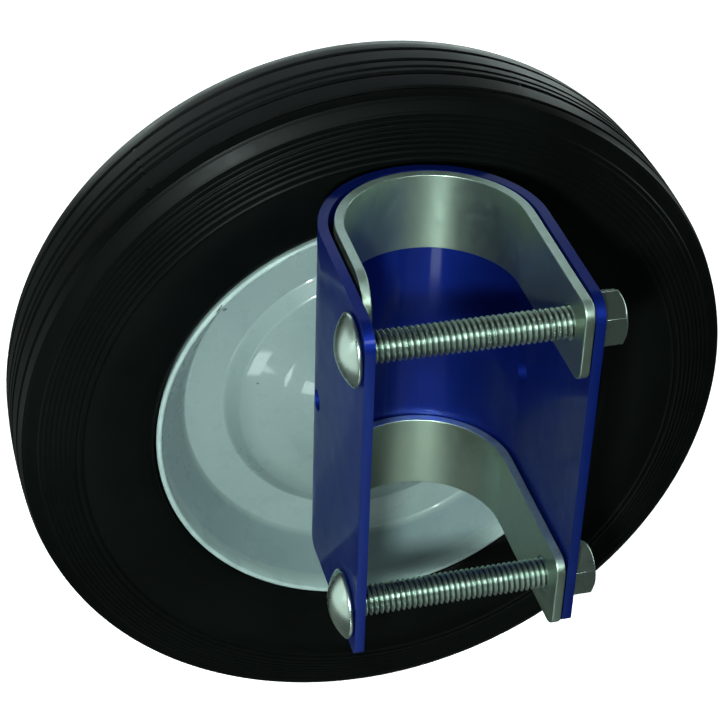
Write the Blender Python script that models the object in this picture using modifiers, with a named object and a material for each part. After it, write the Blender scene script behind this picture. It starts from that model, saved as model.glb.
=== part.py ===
"""Clamp-on gate wheel: a U channel clamp with strap liners and carriage bolts, and a
solid rubber tyre on a pressed steel rim that turns on a short axle welded to the channel.

Frame: metres, +Z up along the clamped gate tube. The origin is the centre of the channel's
rounded back, at the channel's mid-height, which is where the gate's tube sits.
The bolts run along X. The channel opens towards -Y and the wheel is on the +Y side.
"""
import math

import bmesh
import bpy
import numpy as np
from mathutils import Matrix, Vector

MM = 0.001
GAP = 0.3                    # clearance kept between neighbouring solids, mm

# ---- clamp channel (mm) ----
CH_WIDTH = 57.0              # outer width across the two arms
CH_T = 2.5                   # plate thickness
CH_HEIGHT = 97.0             # along the gate tube
CH_FRONT = -41.4             # y of the arms' front edges
CH_CORNER = 6.0              # radius on the two upper front corners
CH_CORNER_LOW = 1.5          # radius on the two lower front corners
CH_R = CH_WIDTH / 2          # outer radius of the rounded back
PIN_HOLE_D = 6.0             # cross-drilled hole through both arms
PIN_HOLE_Y = 1.0

# ---- bolts (5/16 inch, 18 threads per inch) ----
BOLT_D = 7.9
BOLT_Y = -32.8
BOLT_SPACING = 77.0
BOLT_LENGTH = 63.5
BOLT_HOLE_D = 8.6
NECK = 7.85                  # square neck under the head
NECK_LEN = 3.4
HEAD_D = 17.6
HEAD_H = 4.3
HEAD_RIM = 1.0               # straight edge under the dome
NUT_AF = 12.55
NUT_H = 6.4
NUT_BORE = BOLT_D + 2 * GAP

# ---- strap liners ----
LN_WIDTH = 49.6              # outer width across the bolted tab and the short arm
LN_T = 2.4
LN_STRAP = 21.4              # strap width along the tube
LN_TIP = -42.5               # y of the bolted tab's end, on the nuts' side
LN_TIP_R = 4.0               # radius on the bolted tab's two corners
LN_SHORT = -23.5             # y of the short arm's end, on the heads' side
LN_SHORT_R = 9.0
LN_ARC_Y = 0.9               # y of the liner's bend centre
LN_X = 0.5                   # the liners lean towards their bolted side
LN_Z_LOW = -0.9              # the lower liner stands this far out of the channel's lower end
LN_R = LN_WIDTH / 2

# ---- wheel ----
WHEEL_Y = 54.0               # mid-plane of the tyre
WHEEL_Z = -37.5              # height of the axle
TYRE_R = 101.6
TYRE_HALF = 21.0
RIM_R = 63.9                 # outer radius of the rim's lip
RIM_LIP = 16.4               # lip plane, from the tyre's mid-plane
SHEET = 1.2                  # rim sheet thickness
JOINT_Y = 0.9                # the plane where the two rim halves meet, from the mid-plane
ANN_OUT = 53.1               # flat ring where the two rim halves meet
ANN_IN = 42.6                # where the dished centre starts to rise
AXLE_D = 12.7
HUB_OD = 25.4
HUB_ID = 21.4
HUB_HALF = 18.0
BUSH_OD = HUB_ID - 2 * GAP
BUSH_ID = 13.0
FLANGE_D = 24.6
FLANGE_T = 1.6
WASHER_OD = 25.0
WASHER_ID = 13.3
WASHER_T = 2.0

TYRE_STEPS = 60
RIM_STEPS = 48


# ---------------------------------------------------------------- scene and materials
for ob in list(bpy.data.objects):
    bpy.data.objects.remove(ob, do_unlink=True)

parts = bpy.data.collections.new("gate_wheel")
cutters = bpy.data.collections.new("gate_wheel_cutters")
bpy.context.scene.collection.children.link(parts)
bpy.context.scene.collection.children.link(cutters)


def material(name, colour, rough, metal):
    m = bpy.data.materials.new(name)
    m.use_nodes = True
    b = m.node_tree.nodes["Principled BSDF"]
    b.inputs["Base Color"].default_value = (*colour, 1.0)
    b.inputs["Roughness"].default_value = rough
    b.inputs["Metallic"].default_value = metal
    return m


BLUE = material("blue_paint", (0.008, 0.022, 0.28), 0.28, 0.0)
ZINC = material("zinc_plate", (0.55, 0.61, 0.56), 0.32, 1.0)
RUBBER = material("tyre_rubber", (0.012, 0.014, 0.013), 0.55, 0.0)
WHITE = material("rim_enamel", (0.52, 0.62, 0.62), 0.3, 0.0)
STEEL = material("bare_steel", (0.42, 0.42, 0.41), 0.4, 1.0)
NYLON = material("bushing_nylon", (0.72, 0.7, 0.62), 0.5, 0.0)
WELD = material("weld_paint", (0.008, 0.022, 0.24), 0.4, 0.0)


def link(ob, mat, cutter=False):
    (cutters if cutter else parts).objects.link(ob)
    if cutter:
        ob.hide_render = True
        ob.display_type = 'WIRE'
    else:
        ob.data.materials.append(mat)
    return ob


def smooth(ob, deg=35):
    ob.data.shade_smooth()
    ob.data.set_sharp_from_angle(angle=math.radians(deg))
    return ob


def boolean(ob, other, op='DIFFERENCE'):
    m = ob.modifiers.new("cut_" + other.name, 'BOOLEAN')
    m.operation = op
    m.solver = 'EXACT'
    m.object = other
    return m


# ---------------------------------------------------------------- basic shapes
def prism(name, outline, axis, lo, hi, mat, cutter=False):
    """A flat outline extruded from lo to hi along axis. The outline is in mm, in the two other axes."""
    bm = bmesh.new()
    place = {
        'X': lambda u, v, w: (w, u, v),
        'Y': lambda u, v, w: (u, w, v),
        'Z': lambda u, v, w: (u, v, w),
    }[axis]
    vs = [bm.verts.new([c * MM for c in place(u, v, lo)]) for u, v in outline]
    face = bm.faces.new(vs)
    ext = bmesh.ops.extrude_face_region(bm, geom=[face])
    moved = [g for g in ext["geom"] if isinstance(g, bmesh.types.BMVert)]
    shift = Vector([c * MM for c in place(0, 0, hi - lo)])
    bmesh.ops.translate(bm, verts=moved, vec=shift)
    bmesh.ops.recalc_face_normals(bm, faces=bm.faces)
    me = bpy.data.meshes.new(name)
    bm.to_mesh(me)
    bm.free()
    return link(bpy.data.objects.new(name, me), mat, cutter)


def rod(name, radius, axis, centre, length, mat, cutter=False, segs=36, turn=0.0):
    """A cylinder of the given length, centred at centre, all in mm."""
    bm = bmesh.new()
    bmesh.ops.create_cone(bm, cap_ends=True, segments=segs, radius1=radius * MM,
                          radius2=radius * MM, depth=length * MM)
    rot = {'X': Matrix.Rotation(math.radians(90), 4, 'Y'),
           'Y': Matrix.Rotation(math.radians(-90), 4, 'X'),
           'Z': Matrix.Identity(4)}[axis]
    bmesh.ops.transform(bm, matrix=rot @ Matrix.Rotation(turn, 4, 'Z'), verts=bm.verts)
    me = bpy.data.meshes.new(name)
    bm.to_mesh(me)
    bm.free()
    ob = bpy.data.objects.new(name, me)
    ob.location = [c * MM for c in centre]
    return link(ob, mat, cutter)


def turned(name, profile, axis, centre, mat, steps=32, closed=True, cutter=False):
    """A turned solid. The profile is a list of (radius, height) in mm, going down its outer side.

    Its height runs along -Y for axis 'Y' (towards the channel) and along +X or -X for the bolts.
    """
    bm = bmesh.new()
    vs = [bm.verts.new((r * MM, 0.0, h * MM)) for r, h in profile]
    for a, b in zip(vs, vs[1:]):
        bm.edges.new((a, b))
    if closed:
        bm.edges.new((vs[-1], vs[0]))
    me = bpy.data.meshes.new(name)
    bm.to_mesh(me)
    bm.free()
    ob = bpy.data.objects.new(name, me)
    ob.location = [c * MM for c in centre]
    ob.rotation_euler = {
        'Y': (math.radians(90), 0, 0),
        'X': (0, math.radians(90), 0),
        '-X': (0, math.radians(-90), 0),
    }[axis]
    link(ob, mat, cutter)
    sc = ob.modifiers.new("turn", 'SCREW')
    sc.axis = 'Z'
    sc.angle = 2 * math.pi
    sc.steps = steps
    sc.render_steps = steps
    sc.screw_offset = 0.0
    sc.use_merge_vertices = True
    sc.merge_threshold = 0.00001
    sc.use_smooth_shade = True
    return ob


def arc(cx, cy, r, a0, a1, n):
    """n + 1 points of a circle's arc, angles in degrees."""
    return [(cx + r * math.cos(math.radians(a0 + (a1 - a0) * i / n)),
             cy + r * math.sin(math.radians(a0 + (a1 - a0) * i / n))) for i in range(n + 1)]


def u_outline(r_out, thick, arc_y, front, front_left=None, shift=0.0, n=24):
    """The closed outline of a U strip seen along the tube: bend at +Y, open at -Y."""
    left = front if front_left is None else front_left
    outer = [(r_out, front)] + arc(0, arc_y, r_out, 0, 180, n) + [(-r_out, left)]
    r_in = r_out - thick
    inner = [(-r_in, left)] + arc(0, arc_y, r_in, 180, 0, n) + [(r_in, front)]
    return [(x + shift, y) for x, y in outer + inner]


# ---------------------------------------------------------------- clamp channel
half_h = CH_HEIGHT / 2
channel = prism("bracket_channel", u_outline(CH_R, CH_T, 0.0, CH_FRONT), 'Z', -half_h, half_h, BLUE)
side = (arc(CH_FRONT + CH_CORNER_LOW, -half_h + CH_CORNER_LOW, CH_CORNER_LOW, 180, 270, 4)
        + [(CH_R + 5, -half_h), (CH_R + 5, half_h)]
        + arc(CH_FRONT + CH_CORNER, half_h - CH_CORNER, CH_CORNER, 90, 180, 6))
boolean(channel, prism("channel_side_shape", [(y, z) for y, z in side], 'X', -40, 40, None, True),
        'INTERSECT')
for label, z in (("upper", BOLT_SPACING / 2), ("lower", -BOLT_SPACING / 2)):
    s = (NECK + 2 * GAP) / 2
    square = [(BOLT_Y - s, z - s), (BOLT_Y + s, z - s), (BOLT_Y + s, z + s), (BOLT_Y - s, z + s)]
    boolean(channel, prism(f"{label}_neck_hole", square, 'X', -CH_R - 3, -CH_R + 6, None, True))
    boolean(channel, rod(f"{label}_nut_side_hole", BOLT_HOLE_D / 2, 'X', (CH_R - 2, BOLT_Y, z), 12,
                         None, True, 28))
boolean(channel, rod("pin_hole_cutter", PIN_HOLE_D / 2, 'X', (0, PIN_HOLE_Y, 0), CH_WIDTH + 12, None,
                     True, 24))
boolean(channel, rod("axle_hole_cutter", AXLE_D / 2 + GAP, 'Y', (0, CH_R - 1, WHEEL_Z), 14, None,
                     True, 36))
smooth(channel)


# ---------------------------------------------------------------- strap liners
def liner(name, z_mid, z_bolt):
    """A strap bent into a J: the long tab on the nuts' side takes the bolt, the other arm is short."""
    half = LN_STRAP / 2
    outline = u_outline(LN_R, LN_T, LN_ARC_Y, LN_TIP, LN_SHORT, LN_X)
    ob = prism(name, outline, 'Z', z_mid - half, z_mid + half, ZINC)
    for tag, tip, rad, x0, x1 in (("tab", LN_TIP, LN_TIP_R, 5.0, 40.0),
                                  ("short", LN_SHORT, LN_SHORT_R, -40.0, -5.0)):
        # what lies outside the end's two rounded corners
        for side_tag, s in (("top", 1), ("bottom", -1)):
            edge = z_mid + s * half
            inner = arc(tip + rad, edge - s * rad, rad, 180, 180 - s * 90, 8)
            waste = inner + [(tip + rad, edge + s * 4), (tip - 4, edge + s * 4), (tip - 4, edge - s * rad)]
            boolean(ob, prism(f"{name}_{tag}_{side_tag}_corner", waste, 'X', x0, x1, None, True))
    boolean(ob, rod(name + "_bolt_hole", BOLT_HOLE_D / 2, 'X', (LN_R, BOLT_Y, z_bolt), 20, None, True,
                    28))
    return smooth(ob)


upper_mid = half_h - LN_STRAP / 2
lower_mid = -half_h + LN_STRAP / 2 + LN_Z_LOW
liner("upper_liner", upper_mid, BOLT_SPACING / 2)
liner("lower_liner", lower_mid, -BOLT_SPACING / 2)


# ---------------------------------------------------------------- carriage bolts and nuts
def carriage_bolt(name, z):
    """Domed head on the -X side, square neck in the channel's wall, shank to the nut."""
    under = -CH_R - GAP
    n = 5
    # dome: a circle segment of the head's height above its straight rim
    rise = HEAD_H - HEAD_RIM
    rad = ((HEAD_D / 2) ** 2 + rise ** 2) / (2 * rise)
    span = math.asin((HEAD_D / 2) / rad)
    profile = [(rad * math.sin(span * i / n), HEAD_RIM + rise - rad + rad * math.cos(span * i / n))
               for i in range(n + 1)]
    profile += [(HEAD_D / 2 - 0.5, 0.0), (BOLT_D / 2, 0.0)]
    end = BOLT_LENGTH
    profile += [(BOLT_D / 2, -end + 0.9), (BOLT_D / 2 - 0.9, -end), (0.0, -end)]
    ob = turned(name, profile, '-X', (under, BOLT_Y, z), ZINC, steps=28, closed=False)
    s = NECK / 2
    square = [(BOLT_Y - s, z - s), (BOLT_Y + s, z - s), (BOLT_Y + s, z + s), (BOLT_Y - s, z + s)]
    neck = prism(name + "_neck", square, 'X', under - 0.5, under + NECK_LEN, None, True)
    boolean(ob, neck, 'UNION')
    return smooth(ob)


def hex_nut(name, z):
    """A hex nut with a chamfered outer face, on the +X side."""
    x0 = CH_R + GAP
    ac = NUT_AF / math.cos(math.radians(30))
    ob = rod(name, ac / 2, 'X', (x0 + NUT_H / 2, BOLT_Y, z), NUT_H, ZINC, segs=6,
             turn=math.radians(30))
    # chamfer: keep what lies inside a turned drum with a sloping rim
    c = 1.1
    drum = turned(name + "_chamfer",
                  [(0.0, NUT_H + 1.0), (NUT_AF / 2 - 0.6, NUT_H + 1.0), (NUT_AF / 2 - 0.35, NUT_H),
                   (ac / 2 + 0.1, NUT_H - c), (ac / 2 + 0.1, 0.45), (NUT_AF / 2 + 0.1, -0.3),
                   (NUT_AF / 2, -1.0), (0.0, -1.0)],
                  'X', (x0, BOLT_Y, z), None, steps=36, closed=False, cutter=True)
    boolean(ob, drum, 'INTERSECT')
    boolean(ob, rod(name + "_bore", NUT_BORE / 2, 'X', (x0 + NUT_H / 2, BOLT_Y, z), NUT_H + 6, None,
                    True, 28))
    return smooth(ob, 25)


carriage_bolt("upper_carriage_bolt", BOLT_SPACING / 2)
carriage_bolt("lower_carriage_bolt", -BOLT_SPACING / 2)
hex_nut("upper_nut", BOLT_SPACING / 2)
hex_nut("lower_nut", -BOLT_SPACING / 2)


# ---------------------------------------------------------------- wheel
# Heights here are measured from the tyre's mid-plane towards the channel.
wheel_centre = (0.0, WHEEL_Y, WHEEL_Z)


def offset_profile(points, dist):
    """The same run of points moved sideways by dist, to the right of its direction."""
    out = []
    pts = [np.array(p, float) for p in points]
    for i, p in enumerate(pts):
        a = pts[max(i - 1, 0)]
        b = pts[min(i + 1, len(pts) - 1)]
        d1 = (p - a) if i else (b - p)
        d2 = (b - p) if i < len(pts) - 1 else (p - a)
        d1 = d1 / np.linalg.norm(d1)
        d2 = d2 / np.linalg.norm(d2)
        n1, n2 = np.array([d1[1], -d1[0]]), np.array([d2[1], -d2[0]])
        n = n1 + n2
        n = n / np.linalg.norm(n)
        out.append(tuple(p + n * dist / max(0.5, float(n @ n1))))
    return out


def rim_face(joint):
    """The face of a rim half that is seen from its own side, from the lip inwards.

    joint is the height of that face's flat ring above the tyre's mid-plane.
    """
    top = RIM_LIP
    return [
        (RIM_R - SHEET, top), (RIM_R - SHEET - 0.8, top - 4.2), (60.4, joint + (top - joint) * 0.5),
        (57.4, joint + (top - joint) * 0.22), (ANN_OUT, joint), (ANN_IN, joint),
        (38.4, joint + 3.2), (34.2, joint + 4.2), (27.5, joint + 5.6), (20.0, joint + 7.8),
        (HUB_OD / 2 + GAP, joint + 9.1),
    ]


def rim_half(name, sign, joint, mat):
    """A pressed sheet disc. sign is +1 for the channel's side and -1 for the far side."""
    face = rim_face(joint)
    back = offset_profile(face, -SHEET)
    # the bore edge stays clear of the hub tube
    back[-1] = (HUB_OD / 2 + GAP, face[-1][1] - SHEET)
    back[0] = (RIM_R, RIM_LIP)
    loop = face + back[::-1]
    pts = [(r, sign * h) for r, h in loop]
    # the profile has to run down its outer side
    if sign > 0:
        pts = pts[::-1]
    return turned(name, pts, 'Y', wheel_centre, mat, steps=RIM_STEPS)


front_joint = SHEET + GAP / 2 - JOINT_Y
rear_joint = SHEET + GAP / 2 + JOINT_Y
rim_half("front_rim_disc", 1, front_joint, WHITE)
rim_half("rear_rim_disc", -1, rear_joint, WHITE)


def tyre_half(joint, sign):
    """Half of the tyre's outline, from the crown over the sidewall to the bead and down the rim's wall."""
    out = []
    # tread, flat with a slight crown, then a round shoulder
    for y, r in ((0.0, TYRE_R), (11.0, TYRE_R - 0.4), (15.0, TYRE_R - 1.2)):
        out.append((r, y))
    out += [(TYRE_R - 2.8, 17.4), (TYRE_R - 6.0, 19.5), (TYRE_R - 11.0, 20.8), (83.5, TYRE_HALF),
            (76.0, 20.4), (69.0, 18.7), (RIM_R + 1.2, 17.0), (RIM_R + GAP, 16.2)]
    # inside the rim's wall
    wall = [p for p in offset_profile(rim_face(joint), -SHEET - GAP)]
    run = [p for p in wall if p[1] < RIM_LIP - 1.0 and p[0] > ANN_OUT + 0.2]
    out += run
    return [(r, sign * y) for r, y in out]


front = tyre_half(front_joint, 1)
rear = tyre_half(rear_joint, -1)
loop = front[::-1][:-1] + [front[0]] + rear[1:]
tyre_loop = [p for p in loop]
# the loop runs: front wall, front sidewall, crown, rear sidewall, rear wall; it closes along the bore
turned("tyre", tyre_loop, 'Y', wheel_centre, RUBBER, steps=TYRE_STEPS)

turned("hub_tube", [(HUB_OD / 2, HUB_HALF), (HUB_OD / 2, -HUB_HALF), (HUB_ID / 2, -HUB_HALF),
                    (HUB_ID / 2, HUB_HALF)], 'Y', wheel_centre, STEEL, steps=32)


def bushing(name, sign):
    """A flanged bushing pressed into one end of the hub tube."""
    top = HUB_HALF + GAP + FLANGE_T
    pts = [(FLANGE_D / 2, top), (FLANGE_D / 2, HUB_HALF + GAP), (BUSH_OD / 2, HUB_HALF + GAP),
           (BUSH_OD / 2, HUB_HALF - 12.0), (BUSH_ID / 2, HUB_HALF - 12.0), (BUSH_ID / 2, top)]
    pts = [(r, sign * h) for r, h in pts]
    return turned(name, pts if sign > 0 else pts[::-1], 'Y', wheel_centre, NYLON, steps=32)


bushing("front_bushing", 1)
bushing("rear_bushing", -1)


# ---------------------------------------------------------------- axle and its fixings
def washer(name, h_lo):
    """A flat washer whose lower face is h_lo above the mid-plane."""
    r, b = WASHER_OD / 2, WASHER_ID / 2
    return turned(name, [(r, h_lo + WASHER_T), (r, h_lo), (b, h_lo), (b, h_lo + WASHER_T)], 'Y',
                  wheel_centre, ZINC, steps=32)


face_h = HUB_HALF + GAP + FLANGE_T
washer("inner_washer", face_h + GAP)
washer("outer_washer", -face_h - GAP - WASHER_T)

# height of the channel's inner wall above the mid-plane, where the axle ends inside it
axle_top = WHEEL_Y - (CH_R - CH_T) - 0.1
pin_h = -(face_h + GAP + WASHER_T + GAP + 1.7)
axle_end = pin_h - 5.0
axle = turned("axle", [(0.0, axle_top), (AXLE_D / 2, axle_top), (AXLE_D / 2, axle_end + 1.2),
                       (AXLE_D / 2 - 1.2, axle_end), (0.0, axle_end)], 'Y', wheel_centre, STEEL,
              steps=32, closed=False)
boolean(axle, rod("cotter_hole", 2.0, 'X', (0, WHEEL_Y - pin_h, WHEEL_Z), 30, None, True, 20))
smooth(axle)

# fillet weld between the channel's back and the axle
weld_top = WHEEL_Y - CH_R + 3.0
weld_low = face_h + GAP + WASHER_T + GAP
weld = turned("axle_weld_bead",
              [(AXLE_D / 2 + GAP, weld_low), (AXLE_D / 2 + GAP, weld_top), (10.6, weld_top),
               (10.6, WHEEL_Y - CH_R - 0.9), (9.6, WHEEL_Y - CH_R - 1.7), (8.3, weld_low + 0.25),
               (7.6, weld_low)], 'Y', wheel_centre, WELD, steps=32)
boolean(weld, rod("channel_back_clear", CH_R + GAP, 'Z', (0, 0, WHEEL_Z), 40, None, True, 64))
smooth(weld)


def split_pin(name):
    """A split pin: a round wire through the axle, an eye at one end and two legs bent back."""
    r = 1.55
    y = WHEEL_Y - pin_h
    z = WHEEL_Z
    x_eye = -AXLE_D / 2 - 2.6
    x_leg = AXLE_D / 2 + 1.9
    body = rod(name, r, 'X', ((x_eye + x_leg) / 2, y, z), x_leg - x_eye + 1.0, STEEL, segs=16)
    # the eye, a small ring in the plane across the axle
    bm = bmesh.new()
    seg, tube_n, ring_r, tube_r = 16, 8, 2.2, 1.05
    rings = []
    for i in range(seg):
        a = 2 * math.pi * i / seg
        rings.append([bm.verts.new((MM * (x_eye - 1.9 + (ring_r + tube_r * math.cos(b)) * math.cos(a)),
                                    MM * (y + tube_r * math.sin(b)),
                                    MM * (z + (ring_r + tube_r * math.cos(b)) * math.sin(a))))
                      for b in [2 * math.pi * j / tube_n for j in range(tube_n)]])
    for i in range(seg):
        for j in range(tube_n):
            a, b = rings[i], rings[(i + 1) % seg]
            bm.faces.new((a[j], a[(j + 1) % tube_n], b[(j + 1) % tube_n], b[j]))
    bmesh.ops.recalc_face_normals(bm, faces=bm.faces)
    me = bpy.data.meshes.new(name + "_eye")
    bm.to_mesh(me)
    bm.free()
    eye = link(bpy.data.objects.new(name + "_eye", me), None, True)
    boolean(body, eye, 'UNION')
    for tag, s in (("up", 1), ("down", -1)):
        leg = rod(f"{name}_leg_{tag}", 1.15, 'Z', (x_leg - 0.2, y, z + s * 3.4), 6.8, None, True, 12)
        boolean(body, leg, 'UNION')
    return smooth(body)


split_pin("cotter_pin")
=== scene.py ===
"""Detailed look of the clamp-on gate wheel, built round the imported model."""
import math

import bmesh
import bpy
import numpy as np
from mathutils import Matrix, Vector


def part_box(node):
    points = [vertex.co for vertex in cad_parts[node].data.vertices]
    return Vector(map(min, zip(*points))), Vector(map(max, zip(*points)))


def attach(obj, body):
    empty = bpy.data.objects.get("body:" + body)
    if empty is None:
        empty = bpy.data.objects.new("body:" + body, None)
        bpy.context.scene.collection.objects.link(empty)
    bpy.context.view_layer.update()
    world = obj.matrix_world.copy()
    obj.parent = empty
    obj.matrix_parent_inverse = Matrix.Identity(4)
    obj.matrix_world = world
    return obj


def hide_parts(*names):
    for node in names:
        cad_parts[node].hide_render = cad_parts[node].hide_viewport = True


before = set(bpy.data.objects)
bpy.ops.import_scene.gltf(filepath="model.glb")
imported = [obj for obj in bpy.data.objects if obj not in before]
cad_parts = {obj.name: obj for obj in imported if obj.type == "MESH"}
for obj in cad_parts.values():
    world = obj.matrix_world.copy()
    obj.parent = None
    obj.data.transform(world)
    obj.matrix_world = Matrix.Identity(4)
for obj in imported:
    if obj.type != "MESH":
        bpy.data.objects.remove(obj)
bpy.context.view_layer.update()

MM = 0.001


def mm_box(node):
    lo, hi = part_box(node)
    return np.array(lo) / MM, np.array(hi) / MM


# ------------------------------------------------------------------ sizes in mm, mostly read from the imported parts
CH_LO, CH_HI = mm_box("bracket_channel")
CH_R = CH_HI[0]                       # outer radius of the channel's rounded back
CH_T = 2.5
UL_LO, UL_HI = mm_box("upper_liner")
LL_LO, LL_HI = mm_box("lower_liner")
LN_T = 2.4
UB_LO, UB_HI = mm_box("upper_carriage_bolt")
LB_LO, LB_HI = mm_box("lower_carriage_bolt")
UN_LO, UN_HI = mm_box("upper_nut")
LNUT_LO, LNUT_HI = mm_box("lower_nut")
AX_LO, AX_HI = mm_box("axle")
TY_LO, TY_HI = mm_box("tyre")
AXIS = (TY_LO + TY_HI) / 2            # wheel centre
TYRE_R = (TY_HI[2] - TY_LO[2]) / 2
TYRE_HALF = (TY_HI[1] - TY_LO[1]) / 2
BOLT_R = 3.95
PITCH = 25.4 / 18                     # thread pitch

made = bpy.data.collections.new("gate_wheel_look")
bpy.context.scene.collection.children.link(made)


# ------------------------------------------------------------------ mesh helpers
def link(ob):
    made.objects.link(ob)
    return ob


def mesh_object(name, verts, faces, smooth=True):
    """verts in mm."""
    me = bpy.data.meshes.new(name)
    me.from_pydata([tuple(float(c) * MM for c in v) for v in verts], [], faces)
    me.validate()
    me.update()
    if smooth:
        me.shade_smooth()
    return link(bpy.data.objects.new(name, me))


def from_bmesh(name, bm, smooth=True):
    me = bpy.data.meshes.new(name)
    bm.to_mesh(me)
    bm.free()
    if smooth:
        me.shade_smooth()
    return link(bpy.data.objects.new(name, me))


def settle(ob, sharp=None):
    """Applies the object's modifiers to its mesh."""
    dg = bpy.context.evaluated_depsgraph_get()
    dg.update()
    me = bpy.data.meshes.new_from_object(ob.evaluated_get(dg), preserve_all_data_layers=True,
                                         depsgraph=dg)
    ob.modifiers.clear()
    old = ob.data
    ob.data = me
    me.name = ob.name
    bpy.data.meshes.remove(old)
    if sharp is not None:
        me.shade_smooth()
        me.set_sharp_from_angle(angle=math.radians(sharp))
    return ob


def cut(ob, others, op='DIFFERENCE'):
    for other in others:
        m = ob.modifiers.new("cut", 'BOOLEAN')
        m.operation = op
        m.solver = 'EXACT'
        m.object = other
    settle(ob)
    for other in others:
        bpy.data.objects.remove(other, do_unlink=True)
    return ob


def bevel(ob, width, segments=3, angle=32):
    m = ob.modifiers.new("edge", 'BEVEL')
    m.width = width * MM
    m.segments = segments
    m.limit_method = 'ANGLE'
    m.angle_limit = math.radians(angle)
    m.harden_normals = False
    m.use_clamp_overlap = True
    w = ob.modifiers.new("normals", 'WEIGHTED_NORMAL')
    w.keep_sharp = True
    ob.data.shade_smooth()
    settle(ob)
    return ob


def merge_slivers(ob, dist=0.004):
    """Join vertices closer than dist (mm), so that no sliver triangles are left."""
    bm = bmesh.new()
    bm.from_mesh(ob.data)
    bmesh.ops.remove_doubles(bm, verts=bm.verts, dist=dist * MM)
    bmesh.ops.dissolve_degenerate(bm, edges=bm.edges, dist=dist * MM)
    bm.to_mesh(ob.data)
    bm.free()


def prism(name, outline, axis, lo, hi):
    bm = bmesh.new()
    place = {'X': lambda u, v, w: (w, u, v), 'Y': lambda u, v, w: (u, w, v),
             'Z': lambda u, v, w: (u, v, w)}[axis]
    face = bm.faces.new([bm.verts.new([c * MM for c in place(u, v, lo)]) for u, v in outline])
    ext = bmesh.ops.extrude_face_region(bm, geom=[face])
    bmesh.ops.translate(bm, verts=[g for g in ext["geom"] if isinstance(g, bmesh.types.BMVert)],
                        vec=Vector([c * MM for c in place(0, 0, hi - lo)]))
    bmesh.ops.recalc_face_normals(bm, faces=bm.faces)
    return from_bmesh(name, bm, False)


def ring_basis(axis):
    """Unit vectors (along, u, v) for a turned piece."""
    return {'X': ((1, 0, 0), (0, 1, 0), (0, 0, 1)), 'Y': ((0, 1, 0), (1, 0, 0), (0, 0, 1)),
            '-X': ((-1, 0, 0), (0, -1, 0), (0, 0, 1))}[axis]


def turned(name, profile, axis, centre, steps=96, closed=True, sharp=40, shape=None, angles=None):
    """A turned piece. profile is (radius, height) in mm with its height along axis.

    shape(radius array, height array, angle) may return changed radii and heights.
    """
    a, u, v = [np.array(t, float) for t in ring_basis(axis)]
    pr = np.array(profile, float)
    th = np.array(angles) if angles is not None else np.arange(steps) * 2 * math.pi / steps
    n, m = len(pr), len(th)
    verts = []
    for t in th:
        r, h = pr[:, 0], pr[:, 1]
        if shape is not None:
            r, h = shape(r.copy(), h.copy(), t)
        verts.append(np.array(centre)[None, :] + np.outer(h, a)
                     + np.outer(r, u * math.cos(t) + v * math.sin(t)))
    verts = np.concatenate(verts)
    faces = []
    span = n if closed else n - 1
    for i in range(m):
        i2 = (i + 1) % m
        for j in range(span):
            j2 = (j + 1) % n
            faces.append((i * n + j, i * n + j2, i2 * n + j2, i2 * n + j))
    bm = bmesh.new()
    bv = [bm.verts.new(Vector(p) * MM) for p in verts]
    for f in faces:
        bm.faces.new([bv[k] for k in f])
    bmesh.ops.remove_doubles(bm, verts=bm.verts, dist=1e-7)
    bmesh.ops.recalc_face_normals(bm, faces=bm.faces)
    ob = from_bmesh(name, bm)
    ob.data.set_sharp_from_angle(angle=math.radians(sharp))
    return ob


def arc(cx, cy, r, a0, a1, n):
    return [(cx + r * math.cos(math.radians(a0 + (a1 - a0) * i / n)),
             cy + r * math.sin(math.radians(a0 + (a1 - a0) * i / n))) for i in range(n + 1)]


def u_outline(r_out, thick, arc_y, front, front_left, shift=0.0, n=96):
    outer = [(r_out, front)] + arc(0, arc_y, r_out, 0, 180, n) + [(-r_out, front_left)]
    r_in = r_out - thick
    inner = [(-r_in, front_left)] + arc(0, arc_y, r_in, 180, 0, n) + [(r_in, front)]
    return [(x + shift, y) for x, y in outer + inner]


def curve_through(points, per=8):
    """A smooth run of points through the given ones (centripetal Catmull-Rom)."""
    p = [np.array(q, float) for q in points]
    p = [2 * p[0] - p[1]] + p + [2 * p[-1] - p[-2]]
    out = []
    for i in range(1, len(p) - 2):
        p0, p1, p2, p3 = p[i - 1:i + 3]
        t0 = 0.0
        t1 = t0 + np.linalg.norm(p1 - p0) ** 0.5
        t2 = t1 + np.linalg.norm(p2 - p1) ** 0.5
        t3 = t2 + np.linalg.norm(p3 - p2) ** 0.5
        for k in range(per):
            t = t1 + (t2 - t1) * k / per
            a1 = (t1 - t) / (t1 - t0) * p0 + (t - t0) / (t1 - t0) * p1
            a2 = (t2 - t) / (t2 - t1) * p1 + (t - t1) / (t2 - t1) * p2
            a3 = (t3 - t) / (t3 - t2) * p2 + (t - t2) / (t3 - t2) * p3
            b1 = (t2 - t) / (t2 - t0) * a1 + (t - t0) / (t2 - t0) * a2
            b2 = (t3 - t) / (t3 - t1) * a2 + (t - t1) / (t3 - t1) * a3
            out.append(tuple((t2 - t) / (t2 - t1) * b1 + (t - t1) / (t2 - t1) * b2))
    out.append(tuple(p[-2]))
    return out


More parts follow.
